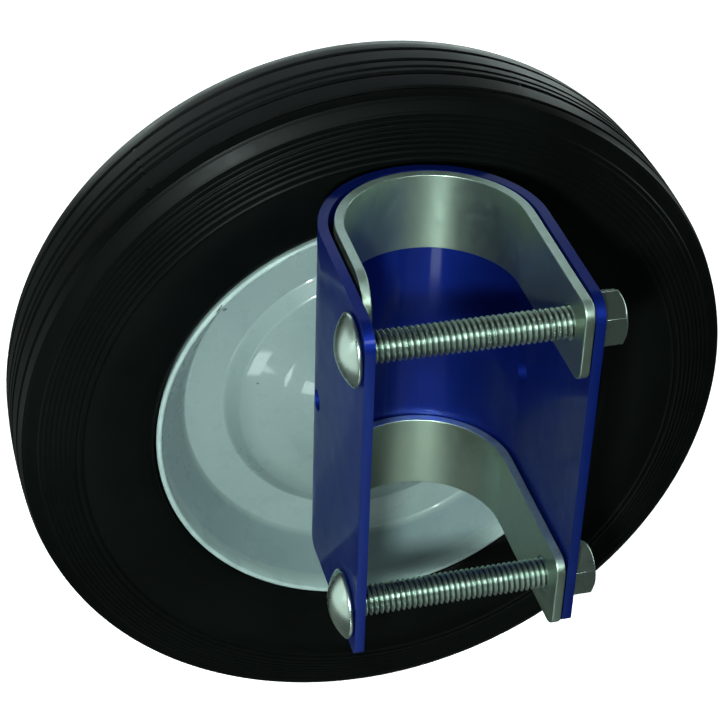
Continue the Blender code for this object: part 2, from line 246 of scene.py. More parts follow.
def filleted(points, n=8):
    """A run through (r, h, fillet radius) corners, each rounded with its radius."""
    p = [np.array(q[:2], float) for q in points]
    out = [tuple(p[0])]
    for i in range(1, len(p) - 1):
        rad = points[i][2]
        a, b = p[i - 1] - p[i], p[i + 1] - p[i]
        la, lb = np.linalg.norm(a), np.linalg.norm(b)
        a, b = a / la, b / lb
        half = math.acos(max(-1.0, min(1.0, float(a @ b)))) / 2
        if rad <= 0 or half > math.radians(89.5):
            out.append(tuple(p[i]))
            continue
        back = min(rad / math.tan(half), 0.48 * la, 0.48 * lb)
        rad = back * math.tan(half)
        mid = (a + b) / np.linalg.norm(a + b)
        c = p[i] + mid * rad / math.sin(half)
        s0, s1 = p[i] + a * back - c, p[i] + b * back - c
        turn = math.pi - 2 * half
        sign = 1 if s0[0] * s1[1] - s0[1] * s1[0] > 0 else -1
        for k in range(n + 1):
            t = sign * turn * k / n
            out.append((c[0] + s0[0] * math.cos(t) - s0[1] * math.sin(t),
                        c[1] + s0[0] * math.sin(t) + s0[1] * math.cos(t)))
    out.append(tuple(p[-1]))
    return out


def offset_run(points, dist):
    pts = np.array(points, float)
    d = np.gradient(pts, axis=0)
    d /= np.linalg.norm(d, axis=1)[:, None]
    n = np.c_[d[:, 1], -d[:, 0]]
    return [tuple(q) for q in pts + n * dist]


# ------------------------------------------------------------------ material helpers
class Nodes:
    def __init__(self, name):
        self.m = bpy.data.materials.new(name)
        self.m.use_nodes = True
        self.t = self.m.node_tree
        self.b = self.t.nodes["Principled BSDF"]
        self.co = self.t.nodes.new("ShaderNodeTexCoord").outputs["Object"]

    def set(self, **kw):
        for k, v in kw.items():
            self.b.inputs[k.replace("_", " ")].default_value = (*v, 1.0) if isinstance(v, tuple) else v
        return self

    def stretch(self, sx, sy, sz):
        n = self.t.nodes.new("ShaderNodeMapping")
        n.inputs["Scale"].default_value = (sx, sy, sz)
        self.t.links.new(self.co, n.inputs["Vector"])
        return n.outputs["Vector"]

    def noise(self, scale, detail=3.0, rough=0.5, distort=0.0, vector=None):
        n = self.t.nodes.new("ShaderNodeTexNoise")
        n.inputs["Scale"].default_value = scale
        n.inputs["Detail"].default_value = detail
        n.inputs["Roughness"].default_value = rough
        n.inputs["Distortion"].default_value = distort
        self.t.links.new(vector or self.co, n.inputs["Vector"])
        return n.outputs["Fac"]

    def ramp(self, fac, stops, interp='LINEAR'):
        n = self.t.nodes.new("ShaderNodeValToRGB")
        n.color_ramp.interpolation = interp
        el = n.color_ramp.elements
        while len(el) < len(stops):
            el.new(0.5)
        for e, (pos, col) in zip(el, stops):
            e.position = pos
            e.color = (*col, 1.0) if isinstance(col, tuple) else (col, col, col, 1.0)
        self.t.links.new(fac, n.inputs["Fac"])
        return n.outputs["Color"]

    def mix(self, a, b, fac, mode='MIX'):
        n = self.t.nodes.new("ShaderNodeMix")
        n.data_type = 'RGBA'
        n.blend_type = mode
        fac_in = [s for s in n.inputs if s.name == "Factor" and s.type == 'VALUE'][0]
        a_in = [s for s in n.inputs if s.name == "A" and s.type == 'RGBA'][0]
        b_in = [s for s in n.inputs if s.name == "B" and s.type == 'RGBA'][0]
        for sock, val in ((fac_in, fac), (a_in, a), (b_in, b)):
            if isinstance(val, bpy.types.NodeSocket):
                self.t.links.new(val, sock)
            elif sock is fac_in:
                sock.default_value = val
            else:
                sock.default_value = (*val, 1.0)
        return [s for s in n.outputs if s.name == "Result" and s.type == 'RGBA'][0]

    def math(self, op, a, b=None, clamp=False):
        n = self.t.nodes.new("ShaderNodeMath")
        n.operation = op
        n.use_clamp = clamp
        for i, v in enumerate((a, b)):
            if v is None:
                continue
            if isinstance(v, bpy.types.NodeSocket):
                self.t.links.new(v, n.inputs[i])
            else:
                n.inputs[i].default_value = v
        return n.outputs[0]

    def bump(self, height, strength, distance, normal=None):
        n = self.t.nodes.new("ShaderNodeBump")
        n.inputs["Strength"].default_value = strength
        n.inputs["Distance"].default_value = distance * MM
        self.t.links.new(height, n.inputs["Height"])
        if normal is not None:
            self.t.links.new(normal, n.inputs["Normal"])
        return n.outputs["Normal"]

    def colour(self, sock):
        self.t.links.new(sock, self.b.inputs["Base Color"])

    def rough(self, sock):
        self.t.links.new(sock, self.b.inputs["Roughness"])

    def normal(self, sock, coat=False):
        self.t.links.new(sock, self.b.inputs["Normal"])
        if coat:
            self.t.links.new(sock, self.b.inputs["Coat Normal"])

    def geometry(self, out):
        n = self.t.nodes.new("ShaderNodeNewGeometry")
        return n.outputs[out]

    def xyz(self, vector=None):
        n = self.t.nodes.new("ShaderNodeSeparateXYZ")
        self.t.links.new(vector or self.co, n.inputs[0])
        return n.outputs[0], n.outputs[1], n.outputs[2]


def wheel_radius(k):
    """Distance from the wheel's axis, in mm."""
    x, y, z = k.xyz()
    z = k.math('SUBTRACT', z, AXIS[2] * MM)
    r2 = k.math('ADD', k.math('MULTIPLY', x, x), k.math('MULTIPLY', z, z))
    return k.math('DIVIDE', k.math('SQRT', r2), MM)


def span(k, value, lo, hi):
    """0 below lo, 1 above hi."""
    return k.math('DIVIDE', k.math('SUBTRACT', value, lo), hi - lo, True)


def edge_wear(k, amount=0.5, lo=0.52, hi=0.62):
    """0..1 where the surface is convex, as an edge is."""
    return k.ramp(k.geometry("Pointiness"), [(lo, 0.0), (hi, amount)])


# ------------------------------------------------------------------ materials
def blue_paint(name, tone=1.0):
    k = Nodes(name).set(Metallic=0.8, Coat_Weight=0.22, Coat_Roughness=0.08, Coat_IOR=1.5,
                        Specular_IOR_Level=0.25)
    big = k.noise(55, 3, 0.55)
    fine = k.noise(1100, 2, 0.6)
    base = k.ramp(big, [(0.3, (0.0034 * tone, 0.0158 * tone, 0.196 * tone)),
                        (0.7, (0.0042 * tone, 0.0195 * tone, 0.242 * tone))])
    mottle = k.ramp(fine, [(0.35, 0.0), (0.7, 0.22)])
    base = k.mix(base, (0.008, 0.025, 0.250), mottle)
    speck = k.ramp(k.noise(700, 1, 0.5), [(0.72, 0.0), (0.80, 0.5)])
    base = k.mix(base, (0.004, 0.012, 0.09), speck)
    worn = edge_wear(k, 0.3, 0.56, 0.7)
    base = k.mix(base, (0.04, 0.08, 0.30), worn)
    k.colour(base)
    k.rough(k.ramp(k.noise(140, 4, 0.6), [(0.3, 0.44), (0.75, 0.54)]))
    peel = k.noise(380, 2, 0.5)
    k.normal(k.bump(fine, 0.10, 0.02, k.bump(peel, 0.22, 0.04)), coat=True)
    return k.m


def zinc(name, rough=(0.34, 0.44), tint=(0.49, 0.60, 0.50), dark=(0.40, 0.50, 0.42), grain=0.16,
         spot=0.5, scale=420, cut_edges_and_highlight=False, thread_root_shade=False):
    k = Nodes(name).set(Metallic=1.0)
    big = k.noise(34, 4, 0.6)
    base = k.ramp(big, [(0.3, dark), (0.72, tint)])
    # faint yellow and blue of the passivated plate
    base = k.mix(base, (0.50, 0.55, 0.38), k.ramp(k.noise(60, 2, 0.5, 0.6), [(0.5, 0.0), (0.75, 0.25)]))
    spots = k.ramp(k.noise(900, 2, 0.7), [(0.66, 0.0), (0.8, spot)])
    base = k.mix(base, (0.22, 0.26, 0.22), spots)
    gloss = k.ramp(k.noise(scale, 4, 0.65), [(0.3, rough[0]), (0.75, rough[1])])
    if cut_edges_and_highlight:
        # the strap's cut edges, duller than its rolled faces; their paler colour is partly their own bare finish
        # and partly a painted highlight on the top and bottom edges
        nz = k.math('ABSOLUTE', k.xyz(k.geometry("Normal"))[2])
        cut_edge_and_highlight = span(k, nz, 0.55, 0.85)
        streak = k.ramp(k.noise(300, 3, 0.7), [(0.35, 0.75), (0.65, 1.0)])
        cut_edge_and_highlight = k.math('MULTIPLY', cut_edge_and_highlight, streak)
        base = k.mix(base, (0.74, 0.90, 0.84), cut_edge_and_highlight)
        gloss = k.math('ADD', gloss, k.math('MULTIPLY', cut_edge_and_highlight, 0.12))
    if thread_root_shade:
        # painted shade: the roots of the thread darkened between the channel's arms
        x, y, z = k.xyz()
        dy = k.math('SUBTRACT', y, (UB_LO[1] + UB_HI[1]) / 2 * MM)
        dz = k.math('SUBTRACT', k.math('ABSOLUTE', z), (UB_LO[2] + UB_HI[2]) / 2 * MM)
        r = k.math('SQRT', k.math('ADD', k.math('MULTIPLY', dy, dy), k.math('MULTIPLY', dz, dz)))
        r = k.math('DIVIDE', r, MM)
        painted_root_shade = k.math('SUBTRACT', 1.0, span(k, r, BOLT_R - 0.72, BOLT_R - 0.30))
        painted_root_shade = k.math('MULTIPLY', painted_root_shade, k.math('LESS_THAN', k.math('ABSOLUTE', x), (CH_R - CH_T) * MM))
        base = k.mix(base, (0.050, 0.070, 0.062), painted_root_shade)
        gloss = k.math('ADD', gloss, k.math('MULTIPLY', painted_root_shade, 0.15))
    k.colour(base)
    k.rough(gloss)
    k.normal(k.bump(k.noise(1500, 3, 0.6), grain, 0.012))
    return k.m


def rubber(name):
    k = Nodes(name).set(Metallic=0.0, Specular_IOR_Level=0.055, Coat_Roughness=0.16, Coat_IOR=1.5)
    big = k.noise(30, 4, 0.6)
    base = k.ramp(big, [(0.3, (0.0019, 0.0026, 0.0024)), (0.75, (0.0036, 0.0046, 0.0042))])
    dust = k.ramp(k.noise(1500, 2, 0.8), [(0.74, 0.0), (0.84, 0.4)])
    base = k.mix(base, (0.03, 0.035, 0.035), dust)
    k.colour(base)
    k.rough(k.ramp(k.noise(90, 4, 0.6), [(0.3, 0.34), (0.75, 0.46)]))
    # the tread's grooves and low ground keep the mould's gloss
    low = k.math('SUBTRACT', 1.0, span(k, wheel_radius(k), 99.9, 101.1))
    high = span(k, wheel_radius(k), 98.9, 99.4)
    y = k.math('ABSOLUTE', k.math('SUBTRACT', k.xyz()[1], AXIS[1] * MM))
    low = k.math('MULTIPLY', low, k.math('LESS_THAN', y, 0.0135))
    patchy = k.ramp(k.noise(120, 3, 0.6), [(0.42, 0.0), (0.60, 1.0)])
    k.t.links.new(k.math('MULTIPLY', k.math('MULTIPLY', low, high), patchy), k.b.inputs["Coat Weight"])
    k.normal(k.bump(k.noise(1300, 3, 0.7), 0.2, 0.03, k.bump(k.noise(160, 3, 0.5), 0.12, 0.10)))
    return k.m


def enamel(name):
    k = Nodes(name).set(Metallic=0.0, Coat_Weight=0.7, Coat_Roughness=0.05, Coat_IOR=1.5,
                        Specular_IOR_Level=0.2)
    base = k.ramp(k.noise(24, 4, 0.55), [(0.3, (0.275, 0.350, 0.345)), (0.7, (0.305, 0.385, 0.378))])
    base = k.mix(base, (0.255, 0.315, 0.335), k.ramp(k.noise(1200, 2, 0.6), [(0.5, 0.0), (0.75, 0.35)]))
    # painted shade: a band round the raised centre darkened, more towards the bottom
    r = wheel_radius(k)
    painted_ring_shade = k.math('MULTIPLY', span(k, r, 33.5, 38.5), k.math('SUBTRACT', 1.0, span(k, r, 41.2, 42.4)))
    painted_ring_shade = k.math('MULTIPLY', painted_ring_shade, k.ramp(k.noise(26, 3, 0.6), [(0.3, 0.45), (0.7, 0.9)]))
    high = k.math('DIVIDE', k.math('SUBTRACT', k.xyz()[2], AXIS[2] * MM), k.math('MULTIPLY', r, MM))
    painted_ring_shade = k.math('MULTIPLY', painted_ring_shade, span(k, high, 0.65, -0.35))
    base = k.mix(base, (0.185, 0.245, 0.245), painted_ring_shade)
    # painted shade: the rim's side under the lip darkened
    painted_wall_shade = k.math('MULTIPLY', span(k, r, 53.6, 54.6), k.math('SUBTRACT', 1.0, span(k, r, 60.9, 61.6)))
    painted_wall_shade = k.math('MULTIPLY', painted_wall_shade, k.ramp(k.noise(40, 3, 0.6), [(0.3, 0.65), (0.7, 1.0)]))
    base = k.mix(base, (0.190, 0.252, 0.262), painted_wall_shade)
    # grime specks
    speck = k.ramp(k.noise(300, 1, 0.4), [(0.775, 0.0), (0.80, 0.85)])
    base = k.mix(base, (0.05, 0.09, 0.09), speck)
    # painted highlight: a brighter band along the lip
    lip = k.math('MULTIPLY', span(k, r, 61.7, 62.2), k.ramp(k.noise(90, 3, 0.6), [(0.3, 0.4), (0.6, 1.0)]))
    base = k.mix(base, (0.50, 0.62, 0.60), lip)
    # bare chips along the sharp lip
    chip = k.math('MULTIPLY', edge_wear(k, 1.0, 0.53, 0.58),
                  k.ramp(k.noise(420, 3, 0.7), [(0.56, 0.0), (0.62, 1.0)]))
    chip = k.math('MULTIPLY', chip, span(k, r, 61.6, 61.9))
    base = k.mix(base, (0.13, 0.12, 0.10), chip)
    k.colour(base)
    k.rough(k.ramp(k.noise(120, 3, 0.6), [(0.3, 0.24), (0.75, 0.36)]))
    k.normal(k.bump(k.noise(300, 2, 0.5), 0.08, 0.04, k.bump(k.noise(45, 2, 0.5), 0.10, 0.22)),
             coat=True)
    return k.m


def nylon(name):
    k = Nodes(name).set(Metallic=0.0, Subsurface_Weight=0.15, Specular_IOR_Level=0.4)
    k.b.inputs["Subsurface Radius"].default_value = (0.002, 0.0015, 0.001)
    base = k.ramp(k.noise(180, 3, 0.6), [(0.3, (0.62, 0.60, 0.52)), (0.75, (0.74, 0.72, 0.64))])
    k.colour(base)
    k.rough(k.ramp(k.noise(300, 3, 0.6), [(0.3, 0.4), (0.75, 0.55)]))
    k.normal(k.bump(k.noise(1200, 2, 0.6), 0.15, 0.02))
    return k.m


def steel(name):
    k = Nodes(name).set(Metallic=1.0)
    turn = k.noise(1.0, 3, 0.6, vector=k.stretch(40, 2600, 40))
    base = k.ramp(k.noise(60, 4, 0.6), [(0.3, (0.36, 0.36, 0.35)), (0.75, (0.50, 0.50, 0.49))])
    k.colour(base)
    k.rough(k.ramp(k.noise(200, 4, 0.6), [(0.3, 0.28), (0.75, 0.42)]))
    k.normal(k.bump(turn, 0.25, 0.02))
    return k.m


PAINT = blue_paint("blue_paint_gloss")
WELD_PAINT = blue_paint("blue_paint_weld", 0.85)
STRAP = zinc("zinc_strap_satin", cut_edges_and_highlight=True)
BOLT = zinc("zinc_bolt_bright", (0.25, 0.33), (0.68, 0.80, 0.72), (0.58, 0.69, 0.62), 0.02, 0.12, 90,
            thread_root_shade=True)
RUBBER = rubber("tyre_rubber_black")
ENAMEL = enamel("rim_enamel_white")
NYLON = nylon("bushing_nylon_natural")
STEEL = steel("plain_steel_turned")


def dress(ob, mat, body, slot, *nodes):
    ob.data.materials.clear()
    ob.data.materials.append(mat)
    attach(ob, body)
    if nodes:
        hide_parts(*nodes)
    return ob


# ------------------------------------------------------------------ clamp channel
def make_channel():
    half = (CH_HI[2] - CH_LO[2]) / 2
    front = CH_LO[1]
    ob = prism("channel_body", u_outline(CH_R, CH_T, 0.0, front, front), 'Z', -half, half)
    r_up, r_low = 6.0, 1.5
    side = (arc(front + r_low, -half + r_low, r_low, 180, 270, 6)
            + [(CH_R + 5, -half), (CH_R + 5, half)]
            + arc(front + r_up, half - r_up, r_up, 90, 180, 14))
    cut(ob, [prism("side", side, 'X', -40, 40)], 'INTERSECT')
    tools = []
    for lo, hi in ((UB_LO, UB_HI), (LB_LO, LB_HI)):
        y, z = (lo[1] + hi[1]) / 2, (lo[2] + hi[2]) / 2
        s = 4.2
        tools.append(prism("sq", [(y - s, z - s), (y + s, z - s), (y + s, z + s), (y - s, z + s)],
                           'X', -CH_R - 3, -CH_R + 6))
        tools.append(turned("rd", [(0, -8), (4.3, -8), (4.3, 8), (0, 8)], 'X', (CH_R - 1, y, z), 48,
                            closed=False))
    tools.append(turned("pin", [(0, -CH_R - 6), (3.0, -CH_R - 6), (3.0, CH_R + 6), (0, CH_R + 6)], 'X',
                        (0, 1.0, 0), 40, closed=False))
    tools.append(turned("axle", [(0, -8), (6.65, -8), (6.65, 8), (0, 8)], 'Y',
                        (0, CH_R - 1, AXIS[2]), 48, closed=False))
    cut(ob, tools)
    bevel(ob, 0.42, 3)
    return dress(ob, PAINT, "clamp", "blue_paint", "bracket_channel")


make_channel()


# ------------------------------------------------------------------ strap liners
def make_liner(node, name, lo, hi, z_bolt):
    shift = 0.5
    r_out = hi[0] - shift
    arc_y = hi[1] - r_out
    tip, short, tip_r, short_r = lo[1], -23.5, 4.0, 9.0
    ob = prism(name, u_outline(r_out, LN_T, arc_y, tip, short, shift), 'Z', lo[2], hi[2])
    tools = []
    for t, rad, x0, x1 in ((tip, tip_r, 5, 40), (short, short_r, -40, -5)):
        for s, edge in ((1, hi[2]), (-1, lo[2])):
            run = arc(t + rad, edge - s * rad, rad, 180, 180 - s * 90, 18)
            tools.append(prism("corner", run + [(t + rad, edge + s * 4), (t - 4, edge + s * 4),
                                                (t - 4, edge - s * rad)], 'X', x0, x1))
    y = (UB_LO[1] + UB_HI[1]) / 2
    tools.append(turned("hole", [(0, -10), (4.3, -10), (4.3, 10), (0, 10)], 'X', (r_out, y, z_bolt),
                        48, closed=False))
    cut(ob, tools)
    bevel(ob, 0.32, 3)
    return dress(ob, STRAP, "clamp", "zinc_strap", node)


make_liner("upper_liner", "upper_strap_liner", UL_LO, UL_HI, (UB_LO[2] + UB_HI[2]) / 2)
make_liner("lower_liner", "lower_strap_liner", LL_LO, LL_HI, (LB_LO[2] + LB_HI[2]) / 2)


# ------------------------------------------------------------------ bolts and nuts
def thread_mesh(x0, x1, cy, cz, radius, pitch=PITCH, n=64):
    """A right-hand helical thread from x0 to x1, closed at both ends, as a bmesh in mm."""
    depth = 0.6134 * pitch
    prof = [(0.0, radius - 0.07), (0.035, radius - 0.01), (0.09, radius), (0.145, radius - 0.07),
            (0.47, radius - depth), (0.66, radius - depth)]
    turns = int(math.ceil((x1 - x0) / pitch)) + 3
    start = x0 - 1.5 * pitch
    bm = bmesh.new()
    grid = []
    for i in range(n):
        t = i / n
        c, s = math.cos(2 * math.pi * t), math.sin(2 * math.pi * t)
        row = []
        for k in range(turns):
            for p, r in prof:
                x = start + (k + p + t) * pitch
                r = min(r, radius + 0.1 - max(0.0, 1.0 - (x1 - x)))
                row.append(bm.verts.new((x, cy + r * c, cz + r * s)))
        grid.append(row)
    m = len(prof)
    for i in range(n):
        a = grid[i]
        b = grid[(i + 1) % n]
        shift = m if i == n - 1 else 0
        for j in range(len(a) - 1):
            if j + 1 + shift < len(b):
                bm.faces.new((a[j], a[j + 1], b[j + 1 + shift], b[j + shift])) if shift == 0 else \
                    bm.faces.new((a[j + shift], a[j + 1 + shift], b[j + 1], b[j]))
    for plane, keep in ((x0, 1), (x1, -1)):
        geom = bm.verts[:] + bm.edges[:] + bm.faces[:]
        bmesh.ops.bisect_plane(bm, geom=geom, plane_co=(plane, 0, 0), plane_no=(-keep, 0, 0),
                               clear_outer=True)
    edges = [e for e in bm.edges if len(e.link_faces) == 1]
    bmesh.ops.holes_fill(bm, edges=edges, sides=0)
    bmesh.ops.recalc_face_normals(bm, faces=bm.faces)
    return bm


def make_bolt(node, name, lo, hi):
    cy, cz = (lo[1] + hi[1]) / 2, (lo[2] + hi[2]) / 2
    head_r = (hi[2] - lo[2]) / 2
    top = lo[0]                                   # the dome's outermost point
    under = -CH_R - 0.3
    head_h = under - top
    rim = 1.0
    rise = head_h - rim
    rad = (head_r ** 2 + rise ** 2) / (2 * rise)
    span = math.asin(head_r / rad)
    # dome, rolled rim, flat underside; height runs towards -X from the underside
    prof = [(rad * math.sin(span * i / 20), rim + rise - rad + rad * math.cos(span * i / 20))
            for i in range(20)]
    prof += [(head_r - 0.12, rim + 0.12), (head_r, rim - 0.15), (head_r - 0.05, 0.45),
             (head_r - 0.3, 0.12), (head_r - 0.8, 0.0), (BOLT_R * 0.7, 0.0), (BOLT_R * 0.7, -1.0),
             (0.0, -1.0)]
    ob = turned(name, prof, '-X', (under, cy, cz), 72, closed=False, sharp=50)
    s = 3.92
    neck = prism("neck", [(cy - s, cz - s), (cy + s, cz - s), (cy + s, cz + s), (cy - s, cz + s)], 'X',
                 under - 0.25, under + 3.4)
    bevel(neck, 0.35, 2)
    bm = thread_mesh(under + 3.0, hi[0], cy, cz, BOLT_R)
    bmesh.ops.scale(bm, vec=(MM, MM, MM), verts=bm.verts)
    th = from_bmesh(name + "_thread", bm)
    # one piece
    bm = bmesh.new()
    for part in (ob, neck, th):
        bm.from_mesh(part.data)
    me = ob.data
    bm.to_mesh(me)
    bm.free()
    me.shade_smooth()
    me.set_sharp_from_angle(angle=math.radians(50))
    for part in (neck, th):
        bpy.data.objects.remove(part, do_unlink=True)
    return dress(ob, BOLT, "clamp", "zinc_bolt", node)


def make_nut(node, name, lo, hi):
    cy, cz = (lo[1] + hi[1]) / 2, (lo[2] + hi[2]) / 2
    af = min(hi[1] - lo[1], hi[2] - lo[2])
    ac = af / math.cos(math.radians(30))
    flat_y = hi[1] - lo[1] < hi[2] - lo[2]
    start = 0 if not flat_y else 30
    hexa = [(cy + ac / 2 * math.cos(math.radians(a)), cz + ac / 2 * math.sin(math.radians(a)))
            for a in range(start, 360, 60)]
    h = hi[0] - lo[0]
    ob = prism(name, hexa, 'X', lo[0], hi[0])
    drum = turned("drum", [(0.0, -1.0), (af / 2 - 0.1, -1.0), (af / 2 - 0.1, 0.0), (ac / 2 + 0.2, 0.5),
                           (ac / 2 + 0.2, h - 1.15), (af / 2 - 0.35, h), (af / 2 - 0.6, h + 0.6),
                           (0.0, h + 0.6)], 'X', (lo[0], cy, cz), 96, closed=False)
    cut(ob, [drum], 'INTERSECT')
    bore = turned("bore", [(0.0, -2.0), (BOLT_R + 1.6, -2.0), (BOLT_R + 1.0, -0.2), (BOLT_R + 0.12, 0.8),
                           (BOLT_R + 0.12, h - 0.8), (BOLT_R + 1.0, h + 0.2), (BOLT_R + 1.6, h + 2.0),
                           (0.0, h + 2.0)], 'X', (lo[0], cy, cz), 64, closed=False)
    cut(ob, [bore])
    merge_slivers(ob, 0.02)
    bevel(ob, 0.14, 2, 24)
    merge_slivers(ob)
    ob.data.shade_smooth()
    ob.data.set_sharp_from_angle(angle=math.radians(30))
    return dress(ob, BOLT, "clamp", "zinc_bolt", node)


make_bolt("upper_carriage_bolt", "upper_bolt", UB_LO, UB_HI)
make_bolt("lower_carriage_bolt", "lower_bolt", LB_LO, LB_HI)
make_nut("upper_nut", "upper_hex_nut", UN_LO, UN_HI)
make_nut("lower_nut", "lower_hex_nut", LNUT_LO, LNUT_HI)


# ------------------------------------------------------------------ rim discs
RD_LO, RD_HI = mm_box("front_rim_disc")
LIP = AXIS[1] - RD_LO[1]                # lip plane from the mid-plane
RIM_R = (RD_HI[2] - RD_LO[2]) / 2
SHEET = 1.2


def rim_controls(joint):
    """The face seen from its own side, from the lip inwards."""
    run = filleted([(62.3, LIP - 0.75, 0), (61.8, LIP - 4.2, 5.0), (53.25, joint, 0.9),
                    (42.3, joint, 1.1), (38.4, joint + 3.3, 3.0), (34.5, joint + 4.2, 8.0),
                    (27.0, joint + 5.7, 14.0), (22.5, joint + 7.3, 9.0),
                    (17.5, joint + 8.9, 5.0), (13.05, joint + 9.1, 0)], 10)
    return run


def make_rim(node, name, sign, joint):
    face = rim_controls(joint)
    back = offset_run(face, -SHEET)
    back[0] = (RIM_R - 0.04, face[0][1])
    # rolled lip joining the face to the back
    mid = (face[0][0] + back[0][0]) / 2
    half_w = (back[0][0] - face[0][0]) / 2
    lip = [(mid + half_w * math.cos(math.radians(a)), face[0][1] + (LIP - face[0][1]) * math.sin(math.radians(a)))
           for a in range(20, 180, 20)]
    bore = [(13.0, face[-1][1] - 0.3), (13.0, face[-1][1] - SHEET + 0.2)]
    loop = face + bore + back[::-1] + lip
    loop = [(r, -sign * h) for r, h in loop]
    ob = turned(name, loop, 'Y', tuple(AXIS), 216, sharp=60)
    return dress(ob, ENAMEL, "wheel", "rim_enamel", node)


make_rim("front_rim_disc", "front_rim", 1, 0.45)
make_rim("rear_rim_disc", "rear_rim", -1, 2.25)


# ------------------------------------------------------------------ tyre
def smoothstep(x):
    x = np.clip(x, 0.0, 1.0)
    return x * x * (3 - 2 * x)


RIDGES = (84.8, 86.7, 88.15, 89.5, 90.85, 92.15, 93.4, 94.65, 95.9)
GROOVES = ((-12.3, 1.9, 1.5), (-4.9, 2.2, 1.7), (-1.65, 1.5, 1.5), (2.3, 1.8, 1.6), (9.0, 1.9, 1.5))
TIES = [math.radians(8.5 + 60 * i) for i in range(6)]


def side_run():
    """(radius, height) of one side, from the bead out to the tread's corner, with fine ridges."""
    base = curve_through([(64.25, 14.6), (64.5, 15.6), (65.2, 16.3), (66.3, 16.85), (67.6, 17.3),
                          (69.5, 17.95), (73.0, 18.95), (77.0, 20.05), (80.5, 20.6),
                          (83.6, 20.62), (87.0, 20.45), (90.0, 19.95), (93.0, 19.25), (96.2, 18.3),
                          (98.2, 17.3), (99.5, 16.55)], 10)
    b = np.array(base)
    seg = np.r_[0, np.cumsum(np.linalg.norm(np.diff(b, axis=0), axis=1))]
    dense = np.unique(np.concatenate([
        seg[(b[:, 0] < 83.8) | (b[:, 0] > 96.9)],
        np.arange(np.interp(83.8, b[:, 0], seg), np.interp(96.9, b[:, 0], seg), 0.17)]))
    r = np.interp(dense, seg, b[:, 0])
    h = np.interp(dense, seg, b[:, 1])
    d = np.gradient(np.c_[r, h], axis=0)
    d /= np.linalg.norm(d, axis=1)[:, None]
    nr, nh = -d[:, 1], d[:, 0]
    lift = np.zeros_like(r)
    for c in RIDGES:
        lift = np.maximum(lift, 0.34 * np.clip(1 - np.abs(r - c) / 0.55, 0, 1) ** 1.3)
    return [(float(a + n * l), float(y + m * l)) for a, y, n, m, l in zip(r, h, nr, nh, lift)]


def tread_run():
    """(radius, y) from one corner of the tread to the other, with grooves; also the grooves' depth."""
    ys = [-16.25, -16.0, -15.4]
    marks = []
    for c, w, d in GROOVES:
        marks += [c - w / 2 - 0.25, c - w / 2, c - w / 2 + 0.18, c - w / 2 + 0.42, c - 0.15, c + 0.15,
                  c + w / 2 - 0.42, c + w / 2 - 0.18, c + w / 2, c + w / 2 + 0.25]
    ys += marks + [-8.5, 5.5, 12.5, 15.4, 16.0, 16.25]
    ys = sorted(ys)
    out = []
    for y in ys:
        a = abs(y)
        r = TYRE_R - 0.05 - 0.35 * (a / 11) ** 2
        if a > 13:
            r -= 0.09 * (a - 13) ** 1.6
        if a > 16.1:
            r -= 0.35
        drop = 0.0
        for c, w, d in GROOVES:
            x = abs(y - c)
            if x < w / 2:
                drop = d * float(smoothstep((w / 2 - x) / 0.5)) ** 0.8
        out.append((r, y, drop))
    return out


def make_tyre():
    side = side_run()
    tread = tread_run()
    wall_f = [(r, h) for r, h in offset_run(rim_controls(0.45), -SHEET - 0.35)
              if h < LIP - 1.5 and r > 53.6]
    wall_r = [(r, h) for r, h in offset_run(rim_controls(2.25), -SHEET - 0.35)
              if h < LIP - 1.5 and r > 53.6]
    prof, drop = [], []
    # from the bore over the channel's side, across the tread, down the far side and back to the bore
    for r, h in wall_f[::-1]:
        prof.append((r, -h)); drop.append(0)
    for r, h in side:
        prof.append((r, -h)); drop.append(0)
    for r, y, d in tread:
        prof.append((r, y)); drop.append(d)
    for r, h in side[::-1]:
        prof.append((r, h)); drop.append(0)
    for r, h in wall_r:
        prof.append((r, h)); drop.append(0)
    drop = np.array(drop)
    step = 2 * math.pi / 288
    angles = list(np.arange(0, 2 * math.pi, step))
    for t in TIES:
        angles = [a for a in angles if abs((a - t + math.pi) % (2 * math.pi) - math.pi) > math.radians(0.55)]
        angles += [(t + math.radians(q)) % (2 * math.pi) for q in (-0.5, -0.34, -0.24, 0.24, 0.34, 0.5)]
    angles = sorted(angles)

    def shape(r, h, t):
        near = min(abs((t - a + math.pi) % (2 * math.pi) - math.pi) for a in TIES)
        keep = float(smoothstep((math.degrees(near) - 0.22) / 0.14))
        wob = 0.03 * math.sin(3 * t + 0.7) + 0.02 * math.sin(7 * t)
        depth = drop * (0.18 + 0.82 * keep)
        depth = np.where(drop > 0, depth, 0.0)
        return r - depth + np.where(r > 97, wob - 0.05, 0.0), h

    ob = turned("tyre_ribbed", prof, 'Y', tuple(AXIS), angles=angles, sharp=38, shape=shape)
    return dress(ob, RUBBER, "wheel", "tyre_rubber", "tyre")


make_tyre()


# ------------------------------------------------------------------ hub tube, bushings, axle, washers
def chamfered(r_out, r_in, lo, hi, c=0.4, ci=0.3):
    return [(r_out - c, hi), (r_out, hi - c), (r_out, lo + c), (r_out - c, lo), (r_in + ci, lo),
            (r_in, lo + ci), (r_in, hi - ci), (r_in + ci, hi)]


def turned_between(node, name, mat, body, slot, r_in, steps=96, c=0.35):
    lo, hi = mm_box(node)
    r = (hi[2] - lo[2]) / 2
    prof = chamfered(r, r_in, lo[1] - AXIS[1], hi[1] - AXIS[1], c, min(c, 0.3))
    ob = turned(name, prof, 'Y', tuple(AXIS), steps, sharp=30)
    return dress(ob, mat, body, slot, node)


turned_between("hub_tube", "hub_barrel", ENAMEL, "wheel", "rim_enamel", 10.7)
turned_between("inner_washer", "inner_flat_washer", STRAP, "clamp", "zinc_strap", 6.65, 80, 0.25)
turned_between("outer_washer", "outer_flat_washer", STRAP, "clamp", "zinc_strap", 6.65, 80, 0.25)


